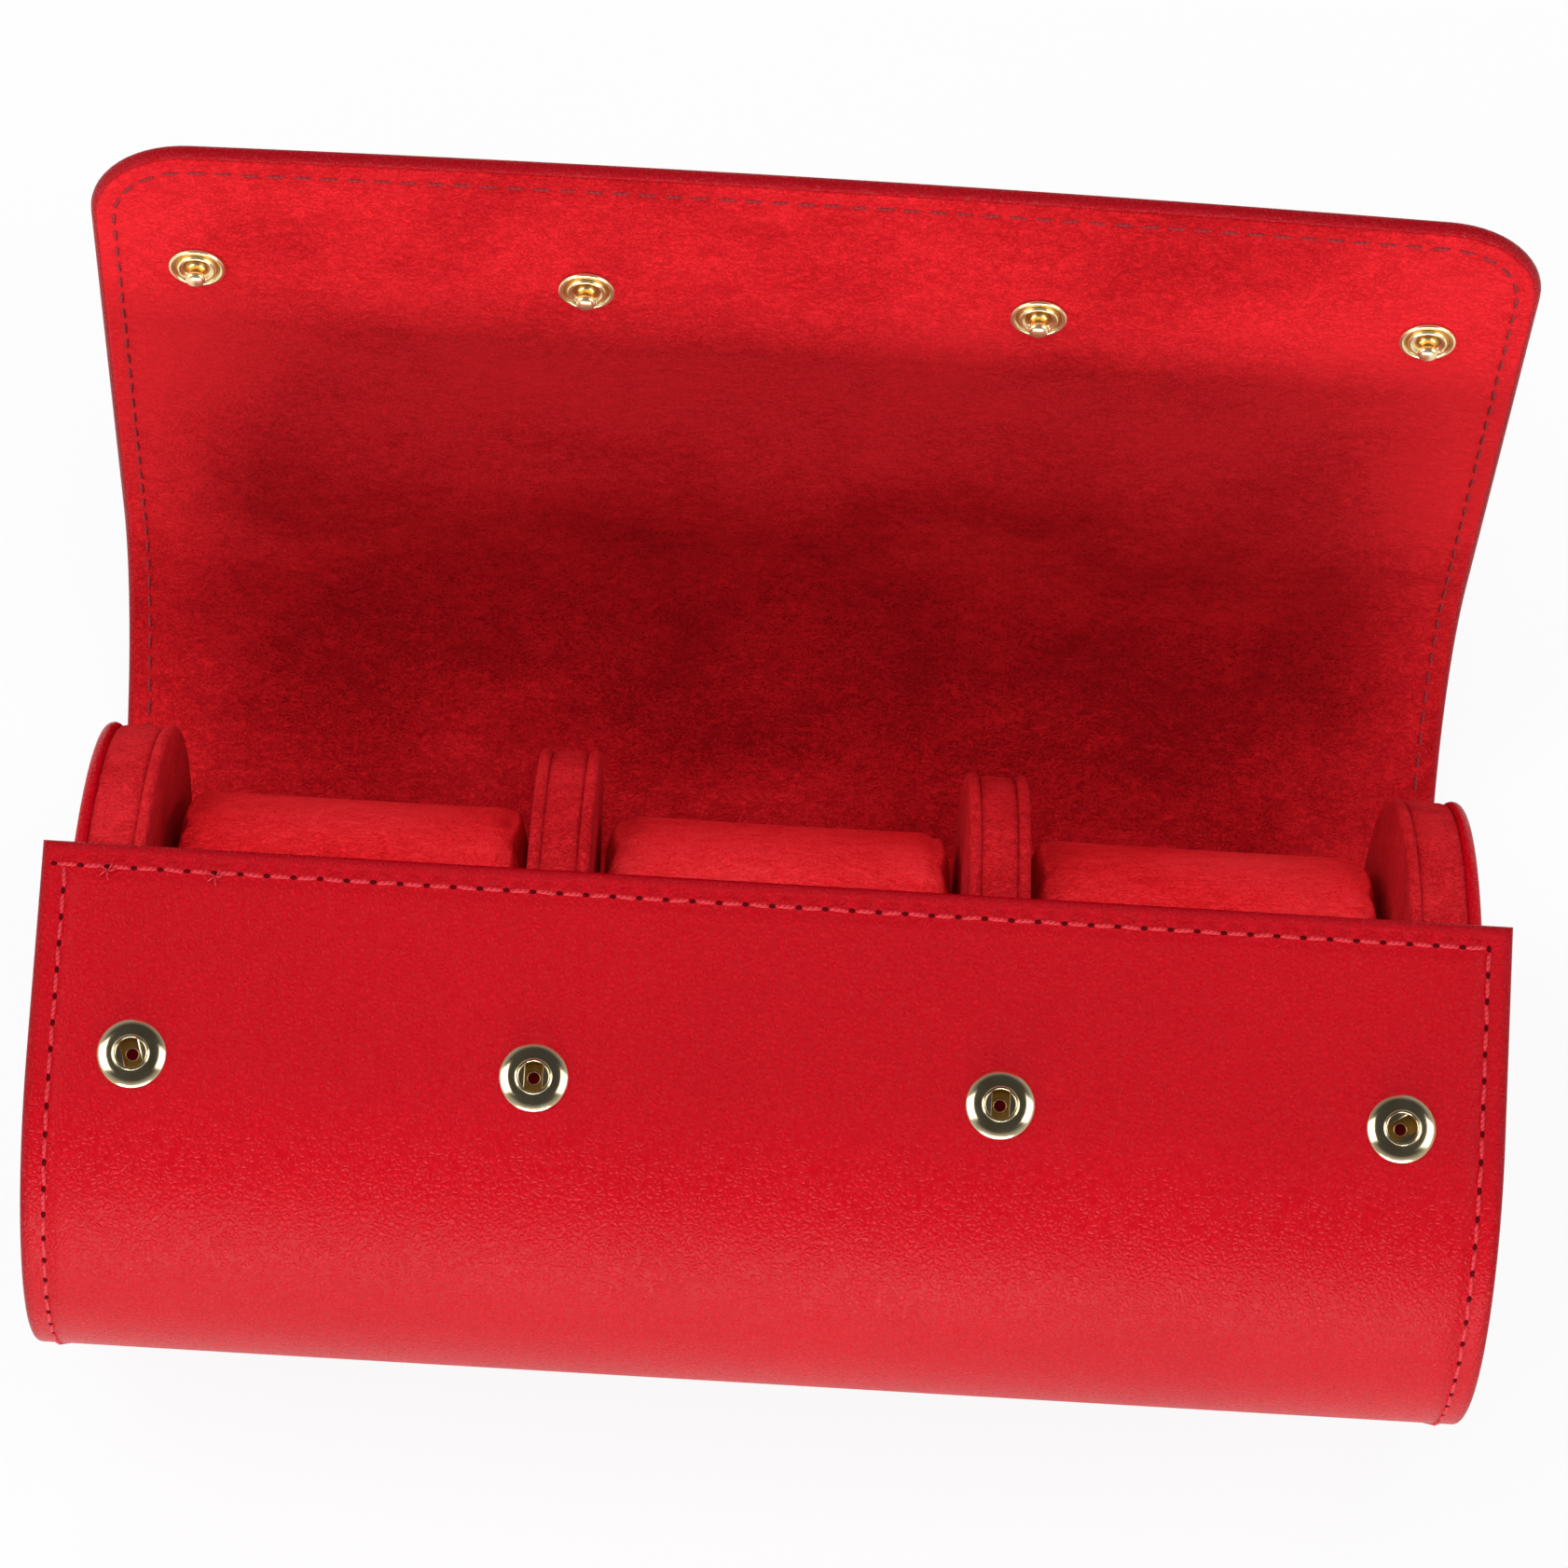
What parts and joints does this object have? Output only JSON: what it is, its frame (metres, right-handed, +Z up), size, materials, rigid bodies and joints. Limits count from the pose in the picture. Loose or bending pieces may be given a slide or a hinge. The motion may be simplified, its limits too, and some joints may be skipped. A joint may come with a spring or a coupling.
{
  "type": "watch roll",
  "caption": "Travel roll for wristwatches: a curled leather wrap with velvet lining, round ends and dividers, loose cushions and a snap-closed flap.",
  "frame": {"origin": "middle of the flat strip of the underside that the roll stands on", "axes": "+X along the roll to the right as seen from the front, +Y to the back where the flap stands, +Z up"},
  "size_m": [0.205, 0.1532, 0.1277],
  "materials": {
    "red_leather": "fine pebbled grain, semi-matt",
    "red_velvet": "short pile velvet",
    "stiff_board": "grey pressed board",
    "cushion_foam": "open foam",
    "gold_metal": "pale gold plating, polished",
    "spring_steel": "bright wire"
  },
  "bodies": {
    "wrap": {"wrap_leather": "red_leather", "wrap_lining": "red_velvet", "wrap_base_board": "stiff_board", "wrap_front_board": "stiff_board", "end_disc_left_velvet": "red_velvet", "end_disc_left_core": "stiff_board", "end_disc_left_rim_strip": "red_velvet", "end_disc_left_leather": "red_leather", "divider_left_inner_face": "red_velvet", "divider_left_core": "stiff_board", "divider_left_rim_strip": "red_velvet", "divider_left_outer_face": "red_velvet", "end_disc_right_velvet": "red_velvet", "end_disc_right_core": "stiff_board", "end_disc_right_rim_strip": "red_velvet", "end_disc_right_leather": "red_leather", "divider_right_inner_face": "red_velvet", "divider_right_core": "stiff_board", "divider_right_rim_strip": "red_velvet", "divider_right_outer_face": "red_velvet", "snap_socket_1": "gold_metal", "snap_spring_1": "spring_steel", "snap_post_1": "gold_metal", "snap_socket_2": "gold_metal", "snap_spring_2": "spring_steel", "snap_post_2": "gold_metal", "snap_socket_3": "gold_metal", "snap_spring_3": "spring_steel", "snap_post_3": "gold_metal", "snap_socket_4": "gold_metal", "snap_spring_4": "spring_steel", "snap_post_4": "gold_metal"},
    "flap_foot": {"flap_foot_leather": "red_leather", "flap_foot_board": "stiff_board", "flap_foot_lining": "red_velvet"},
    "flap_back": {"flap_back_leather": "red_leather", "flap_back_board": "stiff_board", "flap_back_lining": "red_velvet"},
    "flap_upper": {"flap_upper_leather": "red_leather", "flap_upper_board": "stiff_board", "flap_upper_lining": "red_velvet"},
    "flap_tip": {"flap_tip_leather": "red_leather", "flap_tip_board": "stiff_board", "flap_tip_lining": "red_velvet", "snap_stud_1": "gold_metal", "snap_cap_1": "gold_metal", "snap_stud_2": "gold_metal", "snap_cap_2": "gold_metal", "snap_stud_3": "gold_metal", "snap_cap_3": "gold_metal", "snap_stud_4": "gold_metal", "snap_cap_4": "gold_metal"},
    "pillow_left": {"pillow_left_cover": "red_velvet", "pillow_left_foam": "cushion_foam"},
    "pillow_middle": {"pillow_middle_cover": "red_velvet", "pillow_middle_foam": "cushion_foam"},
    "pillow_right": {"pillow_right_cover": "red_velvet", "pillow_right_foam": "cushion_foam"}
  },
  "joints": [
    {"name": "flap_open", "type": "hinge", "parent": "wrap", "child": "flap_foot", "pos_m": [0, 0.005, 0.0025], "axis": [-1, 0, 0], "range_deg": [-24.8, 0]},
    {"name": "flap_back_bend", "type": "hinge", "parent": "flap_foot", "child": "flap_back", "pos_m": [0, 0.0275, 0.0025], "axis": [-1, 0, 0], "range_deg": [-21.6, 0]},
    {"name": "flap_upper_bend", "type": "hinge", "parent": "flap_back", "child": "flap_upper", "pos_m": [0, 0.0769, 0.0418], "axis": [-1, 0, 0], "range_deg": [-12.1, 0]},
    {"name": "flap_tip_bend", "type": "hinge", "parent": "flap_upper", "child": "flap_tip", "pos_m": [0, 0.08447, 0.07456], "axis": [-1, 0, 0], "range_deg": [-53.7, 20]},
    {"name": "pillow_left_lift", "type": "slide", "parent": "wrap", "child": "pillow_left", "axis": [0, 0.788, 0.6157], "range_m": [0, 0.058]},
    {"name": "pillow_middle_lift", "type": "slide", "parent": "wrap", "child": "pillow_middle", "axis": [0, 0.788, 0.6157], "range_m": [0, 0.058]},
    {"name": "pillow_right_lift", "type": "slide", "parent": "wrap", "child": "pillow_right", "axis": [0, 0.788, 0.6157], "range_m": [0, 0.058]}
  ],
  "couplings": [
    {"joint": "flap_back_bend", "follows": "flap_open", "ratio": 0.86694},
    {"joint": "flap_upper_bend", "follows": "flap_open", "ratio": 0.48387}
  ]
}
